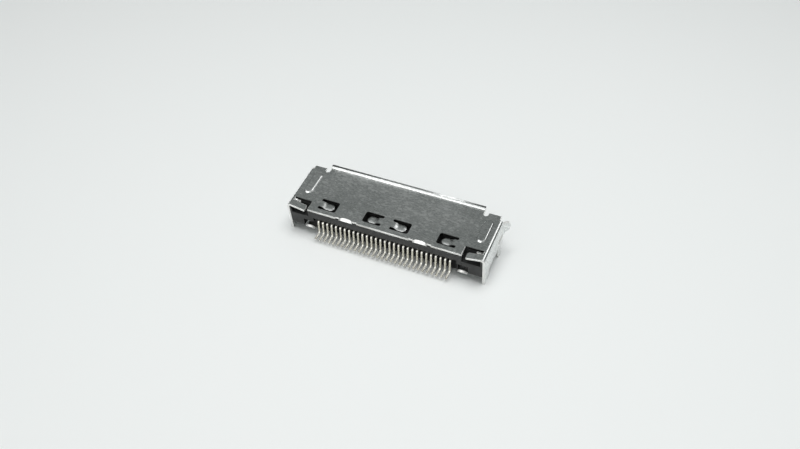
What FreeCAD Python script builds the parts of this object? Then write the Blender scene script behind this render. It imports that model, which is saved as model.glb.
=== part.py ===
import FreeCAD, Part
import math
import os
import re
import Sketcher

# Wide 30-way board-mount receptacle: a folded metal shell around a moulded
# insulator with one row of gull-wing contacts.
# Frame in millimetres: X along the row of contacts, Y from the rear edge of
# the top plate towards the mouth, Z up. z = 0 is the board's surface.

doc = FreeCAD.newDocument("wide_receptacle")

# Driving dimensions. Each row is an alias, a value in millimetres (or a count
# or an angle in degrees) and what it measures.
SIZES = [
    ("contact_count", 30, "contacts in the row"),
    ("pitch", 0.5, "distance between contacts"),
    ("row_margin", 3.55, "last contact's middle to the outside of the side wall"),
    ("play", 0.02, "clearance between the shell and the insulator"),
    ("contact_play", 0.01, "clearance between a contact and its channel"),
    ("sheet", 0.25, "thickness of the shell's sheet metal"),
    ("overall_height", 3.1, "board to the upper face of the top plate"),
    ("plate_depth", 6.0, "rear edge to the mouth edge of the top plate"),
    ("fold_radius", 0.4, "outer radius of the long folds"),
    ("fold_setback", 0.5, "how far the long folds stop short of the mouth"),
    ("floor_start", 1.35, "rear edge to the start of the bottom plate"),
    ("seam", 0.06, "gap of the seam in the bottom plate"),
    ("lip_inset", 2.18, "outside of the side wall to the end of a lip"),
    ("lip_reach", 6.52, "rear edge to the front face of the lips"),
    ("lip_rise", 0.38, "height of the upper lip above the top plate"),
    ("lip_drop", 0.34, "depth of the lower lip under the bottom plate"),
    ("lip_radius", 0.34, "outer radius of the lips' bend"),
    ("notch_width", 0.48, "width of the relief notch beside a lip"),
    ("flare_angle", 42, "angle that a side wall's ear is bent out by"),
    ("flare_length", 0.72, "length of the ear along its slope"),
    ("flare_start", 5.85, "rear edge to the bend of the ear"),
    ("flare_bottom", 0.45, "board to the lower end of the ear"),
    ("flare_top", 2.55, "board to the upper end of the ear"),
    ("flare_corner", 0.45, "radius of the ear's corners"),
    ("window_outer_inset", 4.29, "outside of the side wall to the middle of an outer window"),
    ("window_inner_offset", 1.5, "middle of the part to the middle of an inner window"),
    ("window_length", 1.93, "length of a tongue's window along the row"),
    ("window_rear", 0.57, "rear edge to the near side of a tongue's window"),
    ("window_front", 1.9, "rear edge to the far side of a tongue's window"),
    ("window_gap", 0.27, "gap along the two sides of a tongue in its window"),
    ("tip_gap", 0.41, "gap beyond the tip of a tongue"),
    ("tongue_drop", 0.3, "how far a tongue's tip lies under the top plate"),
    ("tongue_corner", 0.36, "radius of the corners of a tongue's tip"),
    ("slot_inset", 0.45, "outside of the side wall to the end of a corner slot"),
    ("slot_reach", 2.4, "outside of the side wall to the inner side of a corner slot"),
    ("slot_width", 0.42, "gap beyond the tip of a corner tab"),
    ("slot_front", 1.1, "rear edge to the far side of a corner slot"),
    ("tab_depth", 0.74, "rear edge to the far side of a corner tab"),
    ("tab_drop", 0.5, "how far a corner tab's tip lies under the top plate"),
    ("tab_corner", 0.22, "radius of the corners of a corner tab's tip"),
    ("rib_inset", 1.27, "outside of the side wall to the middle of a rib"),
    ("rib_width", 1.0, "width of an embossed rib"),
    ("rib_rear", 2.1, "rear edge to the near end of a rib"),
    ("rib_front", 5.1, "rear edge to the far end of a rib"),
    ("rib_rise", 0.12, "height of a rib above the top plate"),
    ("stub_offset", 4.03, "middle of the part to the middle of a carrier stub"),
    ("stub_width", 1.5, "width of a carrier stub"),
    ("stub_reach", 0.04, "how far a carrier stub stands out at the rear"),
    ("stub_notch", 0.44, "width of the notch on each side of a carrier stub"),
    ("stub_notch_depth", 0.16, "depth of that notch"),
    ("stub_fall", 0.2, "how far the sheared slope of a carrier stub falls"),
    ("heel_depth", 1.3, "width of a heel, the rear leg of a side wall"),
    ("heel_drop", 0.6, "length of a heel under the board's surface"),
    ("lug_inset", 2.35, "outside of the side wall to the middle of a lug"),
    ("lug_width", 1.1, "width of a round-topped lug"),
    ("lug_top", 0.95, "board to the top of a lug"),
    ("lug_radius", 0.35, "outer radius of the bend under a lug"),
    ("latch_middle", 4.65, "rear edge to the middle of a latch window"),
    ("latch_length", 1.4, "length of a latch window"),
    ("latch_height", 0.42, "height of a latch window"),
    ("latch_level", 1.12, "board to the middle of a latch window"),
    ("leg_middle", 4.65, "rear edge to the middle of a board leg"),
    ("leg_width", 1.3, "width of a board leg at the wall"),
    ("leg_tip", 0.7, "width of a board leg's tip"),
    ("leg_drop", 1.25, "length of a board leg under the board's surface"),
    ("leg_relief", 0.55, "width of the relief notch beside a board leg"),
    ("block_depth", 2.4, "rear face to the front face of the insulator's block"),
    ("ledge_level", 1.95, "board to the underside of the ledge over the contacts"),
    ("row_clearance", 0.62, "last contact's middle to the side of the lug pocket"),
    ("recess_depth", 0.45, "depth of the recess under the ledge"),
    ("foot_gap", 0.05, "board to the underside of the insulator's foot"),
    ("pocket_width", 1.2, "width of the pocket round a lug"),
    ("pocket_level", 1.42, "board to the roof of the pocket round a lug"),
    ("corner_level", 0.5, "board to the underside of the block's corners"),
    ("pocket_depth", 0.9, "depth of the pocket and of the step beside it"),
    ("tab_recess_level", 2.05, "board to the floor of the recess under a corner tab"),
    ("tongue_recess", 0.72, "depth of the recess under a tongue"),
    ("blade_inset", 2.5, "outside of the side wall to the end of the mating blade"),
    ("blade_reach", 5.4, "rear edge to the tip of the mating blade"),
    ("blade_thickness", 0.9, "thickness of the mating blade"),
    ("blade_bevel", 0.2, "bevel along the tip of the mating blade"),
    ("strip", 0.15, "thickness of a contact's strip"),
    ("tail_width", 0.2, "width of a contact's solder tail"),
    ("beam_width", 0.3, "width of a contact on the mating blade"),
    ("contact_level", 1.79, "board to the upper face of a contact on the blade"),
    ("beam_start", 0.8, "rear edge to where a contact widens, inside the block"),
    ("beam_reach", 5.1, "rear edge to the front end of a contact"),
    ("shoulder", 0.16, "how far a tail's upper bend stands out at the rear"),
    ("knee", 0.33, "how far a tail's lower bend stands out at the rear"),
    ("toe_reach", 1.1, "how far a tail's toe reaches out at the rear"),
    ("bend_radius", 0.2, "outer radius of a contact's bends"),
]

sheet = doc.addObject("Spreadsheet::Sheet", "Sizes")
for row, (alias, number, meaning) in enumerate(SIZES, start=1):
    sheet.set(f"A{row}", meaning)
    sheet.set(f"B{row}", str(number))
    sheet.setAlias(f"B{row}", alias)
doc.recompute()

ALIASES = {alias for alias, number, meaning in SIZES}
MARGIN = 1.0  # how far a cutting tool runs past the metal, where nothing else is near
BOARD = "0"  # the board's surface, which the underside of the bottom plate lies on
SLOPE_START = 0.15  # share of a strip's length where its slope starts
TONGUE_SLOPE_END = 0.55  # share of a tongue's length where its slope ends
TAB_SLOPE_END = 0.9  # share of a corner tab's length where its slope ends

# Derived places, each worked out from the driving dimensions.
ROW_END = "((contact_count - 1) * pitch / 2)"
SIDE = f"({ROW_END} + row_margin)"
INNER_SIDE = f"({SIDE} - sheet)"
CEILING = "(overall_height - sheet)"
FLOOR = "sheet"
WALL_FOOT = "(fold_radius + play)"
BLOCK_SIDE = f"({INNER_SIDE} - play)"
BLOCK_TOP = f"({CEILING} - play)"
BLOCK_BOTTOM = f"({FLOOR} + play)"
LIP_END = f"({SIDE} - lip_inset)"
ROW_SIDE = f"({ROW_END} + row_clearance)"


def bind(text):
    """An expression with the sheet's name put before each size that it uses."""
    def with_sheet(word):
        return "Sizes." + word.group() if word.group() in ALIASES else word.group()
    return re.sub(r"[a-z][a-z_]*", with_sheet, text)


def value(text):
    return float(sheet.evalExpression(bind(text)))


def times(sign, text):
    """The expression on one side of the middle: sign is -1 or 1."""
    return f"{sign} * ({text})"


# Sketches

class Constraints:
    """Collects a sketch's constraints, so that the sketch is solved once with all of them."""

    def __init__(self, sketch):
        self.sketch = sketch
        self.rules = []
        self.sizes = []

    def add(self, kind, *places, size=None):
        """One constraint; a size is bound to its expression."""
        if size is None:
            self.rules.append(Sketcher.Constraint(kind, *places))
            return
        self.sizes.append((len(self.rules), size))
        self.rules.append(Sketcher.Constraint(kind, *places, value(size)))

    def apply(self):
        self.sketch.addConstraint(self.rules)
        for number, size in self.sizes:
            self.sketch.setExpression(f"Constraints[{number}]", bind(size))


def corner_arc(corner, before, after, radius):
    """The arc that rounds a corner, where it starts and ends, and which of its ends comes first."""
    towards_before = (before - corner).normalize()
    towards_after = (after - corner).normalize()
    half = towards_before.getAngle(towards_after) / 2
    start = corner + towards_before * (radius / math.tan(half))
    finish = corner + towards_after * (radius / math.tan(half))
    centre = corner + (towards_before + towards_after).normalize() * (radius / math.sin(half))
    turns_left = towards_after.cross(towards_before).z > 0
    first, last = (start, finish) if turns_left else (finish, start)
    circle = Part.Circle(centre, FreeCAD.Vector(0, 0, 1), radius)
    arc = Part.ArcOfCircle(circle, circle.parameter(first), circle.parameter(last))
    return arc, start, finish, (1, 2) if turns_left else (2, 1)


def draw_outline(sketch, rules, points):
    """A closed outline. A point is (across, up), or (across, up, radius) where it is rounded.

    A point that lies straight across or straight up from the one before it says
    so with a horizontal or vertical line, so that each place is bound once.
    """
    total = len(points)
    corners = [FreeCAD.Vector(value(point[0]), value(point[1]), 0) for point in points]
    arcs = {}
    starts = list(corners)
    ends = list(corners)
    for index, point in enumerate(points):
        if len(point) == 3:
            neighbours = corners[index - 1], corners[(index + 1) % total]
            arc, ends[index], starts[index], order = corner_arc(
                corners[index], *neighbours, value(point[2]))
            arcs[index] = (arc, order)
    lines = [sketch.addGeometry(Part.LineSegment(starts[index], ends[(index + 1) % total]), False)
             for index in range(total)]
    first_bend = {}
    for index, point in enumerate(points):
        line_in, line_out = lines[index - 1], lines[index]
        if index in arcs:
            arc, (first, last) = arcs[index]
            bend = sketch.addGeometry(arc, False)
            place, end = sketch.addGeometry(Part.Point(corners[index]), True), 1
            rules.add("Tangent", line_in, 2, bend, first)
            rules.add("Tangent", bend, last, line_out, 1)
            rules.add("PointOnObject", place, 1, line_in)
            rules.add("PointOnObject", place, 1, line_out)
            if point[2] in first_bend:
                rules.add("Equal", first_bend[point[2]], bend)
            else:
                first_bend[point[2]] = bend
                rules.add("Radius", bend, size=point[2])
        else:
            place, end = line_out, 1
            rules.add("Coincident", line_in, 2, line_out, 1)
        before = points[index - 1] if index > 0 else (None, None)
        if point[0] == before[0]:
            rules.add("Vertical", line_in)
        else:
            rules.add("DistanceX", -1, 1, place, end, size=point[0])
        if point[1] == before[1]:
            rules.add("Horizontal", line_in)
        else:
            rules.add("DistanceY", -1, 1, place, end, size=point[1])


def box(left, right, low, high):
    """The outline of a plain rectangle."""
    return [(left, low), (right, low), (right, high), (left, high)]


def rounded_box(left, right, low, high, radius):
    return [(across, up, radius) for across, up in box(left, right, low, high)]


def corner_cut(across, up, sign_across, sign_up, radius, reach):
    """The outline that rounds off a corner, which points out from the piece by the two signs."""
    beyond, above = f"{across} + {sign_across} * {reach}", f"{up} + {sign_up} * {reach}"
    back, down = f"{across} - {sign_across} * ({radius} + play)", f"{up} - {sign_up} * ({radius} + play)"
    return [(beyond, above), (beyond, down), (across, down), (across, up, radius),
            (back, up), (back, above)]


# Features. A slab is an outline carried straight along the plane's third axis,
# from low to high. The XZ plane faces -Y, so its offset has the other sign.

FACING = {"XY": 1, "XZ": -1, "YZ": 1}


def slab(body, name, plane, low, high, outlines, cut=False):
    sketch = body.newObject("Sketcher::SketchObject", name + "_outline")
    support = next(item for item in body.Origin.OriginFeatures if item.Role == plane + "_Plane")
    sketch.AttachmentSupport = [(support, "")]
    sketch.MapMode = "FlatFace"
    facing = FACING[plane]
    start = low if (facing > 0) != cut else high
    sketch.setExpression("AttachmentOffset.Base.z", bind(times(facing, start)))
    rules = Constraints(sketch)
    for outline in outlines:
        draw_outline(sketch, rules, outline)
    rules.apply()
    feature = body.newObject("PartDesign::Pocket" if cut else "PartDesign::Pad", name)
    feature.Profile = sketch
    feature.Refine = False
    feature.setExpression("Length", bind(f"({high}) - ({low})"))
    return feature


def cut_slab(body, name, plane, low, high, outlines):
    """A slab taken away; a cut that removes nothing is an error."""
    doc.recompute()
    before = body.Shape.Volume
    feature = slab(body, name, plane, low, high, outlines, cut=True)
    doc.recompute()
    if body.Shape.Volume > before - 1e-6:
        raise RuntimeError(f"{name} cuts nothing")
    return feature


def finish(body):
    """Merges the faces that lie in one plane, once all the features are there."""
    body.Tip.Refine = True
    doc.recompute()
    return body


def new_body(label):
    body = doc.addObject("PartDesign::Body", label)
    body.Label = label
    return body


# The shell: one sheet, folded round the mouth

def sorted_sides(sign, near, far):
    """Left and right of a stretch that lies between near and far on one side."""
    return (near, far) if sign > 0 else (times(-1, far), times(-1, near))


def fold_box(body):
    """The tube of sheet metal that the four folds make."""
    outside = rounded_box(times(-1, SIDE), SIDE, BOARD, "overall_height", "fold_radius")
    inside = rounded_box(times(-1, INNER_SIDE), INNER_SIDE, FLOOR, CEILING, "fold_radius - sheet")
    slab(body, "folded_box", "XZ", "0", "plate_depth", [outside, inside])


def stand_walls(body):
    """Heels at the rear and legs with relief notches further forward, which all go through the board."""
    rear, front = "(leg_middle - leg_width / 2)", "(leg_middle + leg_width / 2)"
    side = f"{SIDE} + {MARGIN}"
    openings = [box(times(-1, side), side, f"-{MARGIN}", "floor_start")]
    for sign in (-1, 1):
        across = sorted_sides(sign, f"{SIDE} - fold_radius - play", side)
        openings.append(box(*across, f"{rear} - leg_relief", f"{front} + leg_relief"))
    cut_slab(body, "floor_openings", "XY", f"-{MARGIN}", WALL_FOOT, openings)
    heel = box("0", "heel_depth", "-heel_drop", WALL_FOOT)
    leg = [(rear, WALL_FOOT), (rear, BOARD), ("leg_middle - leg_tip / 2", "-leg_drop"),
           ("leg_middle + leg_tip / 2", "-leg_drop"), (front, BOARD), (front, WALL_FOOT)]
    for sign, name in ((-1, "left"), (1, "right")):
        slab(body, f"wall_feet_{name}", "YZ", *sorted_sides(sign, INNER_SIDE, SIDE), [heel, leg])


def raise_lugs(body):
    """Two arms of the bottom plate, bent up behind the insulator into round-topped lugs."""
    profile = [("floor_start + play", BOARD), ("0", BOARD, "lug_radius"),
               ("0", "lug_top"), ("sheet", "lug_top"),
               ("sheet", FLOOR, "lug_radius - sheet"), ("floor_start + play", FLOOR)]
    rounds = []
    for sign, name in ((-1, "left"), (1, "right")):
        middle = times(sign, f"{SIDE} - lug_inset")
        low, high = f"{middle} - lug_width / 2", f"{middle} + lug_width / 2"
        slab(body, f"lug_{name}", "YZ", low, high, [profile])
        rounds += [corner_cut(low, "lug_top", -1, 1, "lug_width / 2 - play", MARGIN),
                   corner_cut(high, "lug_top", 1, 1, "lug_width / 2 - play", MARGIN)]
    cut_slab(body, "lug_rounds", "XZ", f"-{MARGIN}", "sheet + play", rounds)


def bend_lips(body):
    """The mouth edge: notches, folds set back, one lip turned up and one turned down."""
    root = "plate_depth - fold_setback"
    for name, inside, outside, end in (("upper", CEILING, "overall_height", "overall_height + lip_rise"),
                                       ("lower", FLOOR, BOARD, "-lip_drop")):
        profile = [(root, inside), ("lip_reach", inside, "lip_radius"), ("lip_reach", end),
                   ("lip_reach - sheet", end), ("lip_reach - sheet", outside, "lip_radius - sheet"),
                   (root, outside)]
        slab(body, f"{name}_lip", "YZ", times(-1, LIP_END), LIP_END, [profile])
    notches, folds = [], []
    front = f"plate_depth + {MARGIN}"
    for sign in (-1, 1):
        left, right = sorted_sides(sign, LIP_END, f"{LIP_END} + notch_width")
        notches.append([(left, front), (left, root, "notch_width / 2 - play"),
                        (right, root, "notch_width / 2 - play"), (right, front)])
        across = sorted_sides(sign, f"{SIDE} - fold_radius + play", f"{SIDE} + {MARGIN}")
        folds.append(box(*across, "overall_height - fold_radius", f"overall_height + {MARGIN}"))
        folds.append(box(*across, f"-{MARGIN}", "fold_radius"))
    cut_slab(body, "lip_notches", "XY", f"-{MARGIN}", f"overall_height + {MARGIN}", notches)
    cut_slab(body, "fold_ends", "XZ", root, front, folds)


def bend_ears(body):
    """Each side wall ends in an ear bent outwards, which leads the plug in."""
    root = "flare_start - fold_setback"
    far = f"{SIDE} + flare_length * sin(flare_angle)"
    front = "flare_start + flare_length * cos(flare_angle)"
    ears, rounds = [], []
    for sign in (-1, 1):
        outer, inner = times(sign, SIDE), times(sign, INNER_SIDE)
        ears.append([(outer, root), (outer, "flare_start", "fold_radius - sheet"),
                     (times(sign, far), front),
                     (times(sign, f"{far} - sheet * cos(flare_angle)"), f"{front} + sheet * sin(flare_angle)"),
                     (inner, "flare_start + sheet * tan(flare_angle / 2)", "fold_radius"), (inner, root)])
        for level, up in (("flare_top", 1), ("flare_bottom", -1)):
            rounds.append(corner_cut(times(sign, far), level, sign, up, "flare_corner", MARGIN))
    slab(body, "ears", "XY", "flare_bottom", "flare_top", ears)
    cut_slab(body, "ear_rounds", "XZ", "flare_start", f"lip_reach + {MARGIN}", rounds)


def windows():
    """The tongues' windows from left to right: middle, and the side that the tongue points to."""
    outer = f"({SIDE} - window_outer_inset)"
    return [(times(-1, outer), 1), ("-window_inner_offset", -1), ("window_inner_offset", 1), (outer, -1)]


def stubs():
    """Left and right end of each carrier stub."""
    middles = [times(sign, "stub_offset") for sign in (-1, 1)]
    return [(f"{middle} - stub_width / 2", f"{middle} + stub_width / 2") for middle in middles]


def pierce_top(body):
    """All that is punched out of the top plate: windows, corner slots and the notches for the stubs."""
    openings = [rounded_box(f"{middle} - window_length / 2", f"{middle} + window_length / 2",
                            "window_rear", "window_front", "window_gap / 2")
                for middle, pointing in windows()]
    for sign in (-1, 1):
        across = sorted_sides(sign, f"{SIDE} - slot_reach", f"{SIDE} - slot_inset")
        openings.append(box(*across, f"-{MARGIN}", "slot_front"))
    for left, right in stubs():
        openings.append(box(f"{left} - stub_notch", f"{right} + stub_notch", f"-{MARGIN}", "stub_notch_depth"))
    cut_slab(body, "top_openings", "XY", f"{CEILING} - play", f"overall_height + {MARGIN}", openings)


def strip_profile(root, tip, drop, level, slope_end):
    """Side view of a strip of sheet that slopes down from its root and ends level.

    slope_end is the share of the strip's length where the slope ends.
    """
    bend = f"{root} + {SLOPE_START} * ({tip} - {root})"
    rest = f"{root} + {slope_end} * ({tip} - {root})"
    return [(root, level), (bend, level), (rest, f"{level} - {drop}"), (tip, f"{level} - {drop}"),
            (tip, f"{level} - {drop} - sheet"), (rest, f"{level} - {drop} - sheet"),
            (bend, f"{level} - sheet"), (root, f"{level} - sheet")]


def press_strips(body, name, rear, front, strips, drop, slope_end, corner, reach):
    """Strips bent down out of the top plate, each with a rounded tip. A strip is (root, tip, pointing)."""
    slab(body, name, "XZ", rear, front,
         [strip_profile(root, tip, drop, "overall_height", slope_end) for root, tip, pointing in strips])
    rounds = []
    for root, tip, pointing in strips:
        rounds += [corner_cut(tip, rear, pointing, -1, corner, reach),
                   corner_cut(tip, front, pointing, 1, corner, reach)]
    cut_slab(body, f"{name}_rounds", "XY", f"{CEILING} - {drop} - play",
             f"overall_height - {drop} + play", rounds)


def press_tongues(body):
    """Four tongues, bent down into the insulator, and two corner tabs behind it."""
    tongues = [(f"({middle} - {pointing} * (window_length / 2 + play))",
                f"({middle} + {pointing} * (window_length / 2 - tip_gap))", pointing)
               for middle, pointing in windows()]
    press_strips(body, "tongues", "window_rear + window_gap", "window_front - window_gap", tongues,
                 "tongue_drop", TONGUE_SLOPE_END, "tongue_corner", "window_gap / 2")
    tabs = [(times(sign, f"({SIDE} - slot_inset + play)"),
             times(sign, f"({SIDE} - slot_reach + slot_width)"), -sign) for sign in (-1, 1)]
    press_strips(body, "corner_tabs", "0", "tab_depth", tabs, "tab_drop", TAB_SLOPE_END,
                 "tab_corner", "slot_width / 2")


def shear_stubs(body):
    """What is left of the strip that carried the sheet through the press, sheared off at a slope."""
    root = "stub_notch_depth + play"
    profile = [(root, CEILING), ("-stub_reach", CEILING), ("-stub_reach", "overall_height - stub_fall"),
               ("stub_notch_depth", "overall_height"), (root, "overall_height")]
    for (left, right), name in zip(stubs(), ("left", "right")):
        slab(body, f"carrier_stub_{name}", "YZ", left, right, [profile])


def emboss_ribs(body):
    """Two long ribs pressed up out of the top plate, hollow underneath."""
    outside, inside = [], []
    for sign in (-1, 1):
        middle = times(sign, f"{SIDE} - rib_inset")
        left, right = f"{middle} - rib_width / 2", f"{middle} + rib_width / 2"
        outside.append(rounded_box(left, right, "rib_rear", "rib_front", "rib_width / 2 - play"))
        inside.append(rounded_box(f"{left} + sheet / 2", f"{right} - sheet / 2",
                                  "rib_rear + sheet / 2", "rib_front - sheet / 2",
                                  "rib_width / 2 - sheet / 2 - play"))
    slab(body, "ribs", "XY", "overall_height - play", "overall_height + rib_rise", outside)
    cut_slab(body, "rib_hollows", "XY", f"{CEILING} - play", f"{CEILING} + rib_rise", inside)


def pierce_walls(body):
    """The latch windows: one slit in each side wall, in line with the other."""
    side = f"{SIDE} + {MARGIN}"
    cut_slab(body, "latch_windows", "YZ", times(-1, side), side,
             [rounded_box("latch_middle - latch_length / 2", "latch_middle + latch_length / 2",
                          "latch_level - latch_height / 2", "latch_level + latch_height / 2",
                          "latch_height / 4")])


def split_seam(body):
    """Where the two edges of the sheet meet under the mouth."""
    cut_slab(body, "floor_seam", "XY", f"-{MARGIN}", f"{FLOOR} + play",
             [box("-seam / 2", "seam / 2", "0", f"lip_reach + {MARGIN}")])


def make_shell():
    body = new_body("shell")
    for step in (fold_box, stand_walls, raise_lugs, bend_lips, bend_ears, pierce_top,
                 press_tongues, shear_stubs, emboss_ribs, pierce_walls, split_seam):
        step(body)
    return finish(body)


# The insulator

def mould_block(body):
    """The rear block, with a foot behind the bottom plate."""
    slab(body, "block", "XZ", "0", "block_depth",
         [rounded_box(times(-1, BLOCK_SIDE), BLOCK_SIDE, BLOCK_BOTTOM, BLOCK_TOP, "fold_radius - sheet")])
    slab(body, "foot", "XZ", "recess_depth", "floor_start - play",
         [box(times(-1, ROW_SIDE), ROW_SIDE, "foot_gap", f"{BLOCK_BOTTOM} + play")])


def hollow_rear(body):
    """Under the ledge, round the lugs and under the corners the rear face is set back."""
    under = f"foot_gap - {MARGIN}"
    cut_slab(body, "row_recess", "XZ", f"-{MARGIN}", "recess_depth",
             [box(times(-1, ROW_SIDE), ROW_SIDE, under, "ledge_level")])
    pockets, steps = [], []
    for sign in (-1, 1):
        near, far = ROW_SIDE, f"{ROW_SIDE} + pocket_width"
        pockets.append(box(*sorted_sides(sign, near, far), under, "pocket_level"))
        steps.append(box(*sorted_sides(sign, far, f"{SIDE} + {MARGIN}"), under, "corner_level"))
    cut_slab(body, "lug_pockets", "XZ", f"-{MARGIN}", "pocket_depth", pockets)
    cut_slab(body, "corner_steps", "XZ", f"-{MARGIN}", "pocket_depth", steps)


def recess_top(body):
    """Room under the shell's tongues and corner tabs."""
    over = f"overall_height + {MARGIN}"
    holes = [box(f"{middle} - window_length / 2", f"{middle} + window_length / 2",
                 "window_rear", "window_front") for middle, pointing in windows()]
    cut_slab(body, "tongue_recesses", "XY", f"{BLOCK_TOP} - tongue_recess", over, holes)
    corners = []
    for sign in (-1, 1):
        far, near = f"{SIDE} - slot_inset", f"{SIDE} - slot_reach"
        corners.append(box(*sorted_sides(sign, near, far), f"-{MARGIN}", "slot_front"))
    cut_slab(body, "tab_recesses", "XY", "tab_recess_level", over, corners)


def mould_blade(body):
    """The flat blade in the mouth that carries the contacts."""
    low, high = "(contact_level - blade_thickness)", "contact_level"
    outline = [("block_depth - play", low), ("blade_reach - blade_bevel", low),
               ("blade_reach", f"{low} + blade_bevel"), ("blade_reach", f"{high} - blade_bevel"),
               ("blade_reach - blade_bevel", high), ("block_depth - play", high)]
    side = f"({SIDE} - blade_inset)"
    slab(body, "blade", "YZ", times(-1, side), side, [outline])


def cut_channels(body):
    """One channel for each contact: closed in the block, an open groove along the blade."""
    first, half = contact_place(0), "(beam_width / 2 + contact_play)"
    channel = cut_slab(body, "first_channel", "XZ", "0", "beam_reach + contact_play",
                       [box(f"{first} - {half}", f"{first} + {half}",
                            "contact_level - strip - contact_play", "contact_level + contact_play")])
    row = body.newObject("PartDesign::LinearPattern", "contact_channels")
    row.Originals = [channel]
    row.Direction = (channel.Profile[0], ["H_Axis"])
    row.setExpression("Length", bind("(contact_count - 1) * pitch"))
    row.setExpression("Occurrences", bind("contact_count"))
    body.Tip = row


def make_housing():
    body = new_body("housing")
    for step in (mould_block, hollow_rear, recess_top, mould_blade, cut_channels):
        step(body)
    return finish(body)


# The contacts

def contact_place(number):
    """Middle of a contact along the row, counted from the left."""
    return f"({number} * pitch - {ROW_END})"


def make_contact(number):
    """A strip that lies on the blade, comes out under the ledge and ends in a gull-wing toe."""
    body = new_body(f"contact_{number + 1:02d}")
    under = "(contact_level - strip)"
    inner = "bend_radius - strip"
    tail = [("beam_start + play", "contact_level"), ("-shoulder", "contact_level", "bend_radius"),
            ("-knee", "strip", inner), ("-toe_reach", "strip"), ("-toe_reach", "0"),
            ("strip - knee", "0", "bend_radius"), ("strip - shoulder", under, inner),
            ("beam_start + play", under)]
    slab(body, body.Label + "_tail", "YZ", "-tail_width / 2", "tail_width / 2", [tail])
    slab(body, body.Label + "_beam", "XY", under, "contact_level",
         [box("-beam_width / 2", "beam_width / 2", "beam_start", "beam_reach")])
    body.setExpression("Placement.Base.x", bind(contact_place(number)))
    body.Tip.Refine = True
    return body


# Build, test and write

pieces = [make_shell(), make_housing()]
pieces += [make_contact(number) for number in range(int(value("contact_count")))]
doc.recompute()

for item in doc.Objects:
    if "Invalid" in item.State or "Error" in item.State:
        raise RuntimeError(f"{item.Label} failed: {item.State}")

os.makedirs("parts", exist_ok=True)
for piece in pieces:
    shape = piece.Shape
    if shape.isNull() or not shape.isValid() or len(shape.Solids) != 1:
        raise RuntimeError(f"{piece.Label} is not one valid solid")
    shape.exportStep(f"parts/{piece.Label}.step")

whole = Part.makeCompound([piece.Shape for piece in pieces]).BoundBox
print(f"{len(pieces)} pieces, {whole.XLength:.2f} x {whole.YLength:.2f} x {whole.ZLength:.2f} mm")
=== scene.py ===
# %% [markdown]
# # A wide board-mount receptacle
#
# The object is a socket that is soldered to a circuit board: a folded sheet-metal shell, a black
# moulded insulator inside it, and a row of thirty thin contacts that come out at the rear and end in
# flat toes. The CAD model gives every place and size. This lesson gives it the look of the real
# thing: rolled sheet with rounded cut edges, pressed ribs and tongues, and plated, stained metal.

# %% Load the frame
import math

import bmesh
import bpy
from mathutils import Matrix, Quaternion, Vector
from mathutils.geometry import delaunay_2d_cdt


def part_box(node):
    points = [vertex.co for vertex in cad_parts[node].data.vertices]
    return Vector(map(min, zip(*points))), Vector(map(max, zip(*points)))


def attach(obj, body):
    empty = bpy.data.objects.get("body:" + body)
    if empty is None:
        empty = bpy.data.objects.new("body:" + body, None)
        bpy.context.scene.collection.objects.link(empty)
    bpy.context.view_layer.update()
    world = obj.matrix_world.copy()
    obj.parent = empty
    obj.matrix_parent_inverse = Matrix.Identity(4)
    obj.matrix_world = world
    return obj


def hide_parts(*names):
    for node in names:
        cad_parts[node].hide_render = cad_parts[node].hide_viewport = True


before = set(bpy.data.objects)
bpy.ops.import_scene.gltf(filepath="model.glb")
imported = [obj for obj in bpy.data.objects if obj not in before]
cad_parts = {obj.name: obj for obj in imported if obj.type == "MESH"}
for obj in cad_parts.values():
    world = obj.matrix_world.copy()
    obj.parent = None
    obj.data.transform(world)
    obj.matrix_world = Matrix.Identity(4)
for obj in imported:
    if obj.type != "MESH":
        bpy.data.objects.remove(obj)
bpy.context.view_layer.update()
MM = 0.001  # one millimetre in metres, Blender's unit here
scene = bpy.context.scene
contact_names = sorted(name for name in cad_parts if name.startswith("contact_"))
print(len(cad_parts), "CAD nodes, of which", len(contact_names), "contacts")


def add_object(name, data):
    """Puts a camera, a lamp or a mesh into the scene."""
    thing = bpy.data.objects.new(name, data)
    scene.collection.objects.link(thing)
    return thing


# %% [markdown]
# ## Camera
#
# The photograph looks down on the rear of the part from its right, with the camera held slightly
# askew. A camera is easiest to read as a point that it looks at, a distance, two angles and a roll.
# The far distance and the long side of the sensor give the weak perspective of a close-up.

# %% Place the camera
CAMERA_TARGET = Vector((0.617, 2.825, 1.329)) * MM
CAMERA_DISTANCE = 87.0 * MM
CAMERA_AZIMUTH = math.radians(27.65)
CAMERA_ELEVATION = math.radians(48.97)
CAMERA_ROLL = math.radians(-5.41)
SENSOR_WIDTH = 36.0
LENS = 38.25

towards_camera = Vector((
    math.sin(CAMERA_AZIMUTH) * math.cos(CAMERA_ELEVATION),
    -math.cos(CAMERA_AZIMUTH) * math.cos(CAMERA_ELEVATION),
    math.sin(CAMERA_ELEVATION)))
camera_data = bpy.data.cameras.new("camera")
camera_data.sensor_width = SENSOR_WIDTH
camera_data.lens = LENS
camera_data.clip_start = 1 * MM
camera = add_object("camera", camera_data)
camera.rotation_mode = "QUATERNION"
camera.location = CAMERA_TARGET + towards_camera * CAMERA_DISTANCE
aim = (-towards_camera).to_track_quat("-Z", "Y")
camera.rotation_quaternion = aim @ Quaternion((0, 0, 1), CAMERA_ROLL)
scene.camera = camera
scene.view_settings.view_transform = "Standard"
print("camera at", [round(x / MM, 1) for x in camera.location], "mm")

# %% [markdown]
# ## Helpers for node trees
#
# Every material and every Geometry Nodes tree below is built in code. Small helpers keep that
# readable: one makes a group with named sockets, another adds a node, sets its properties and links
# or fills its inputs in one go, and the rest stand for the nodes that are used again and again.

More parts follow.
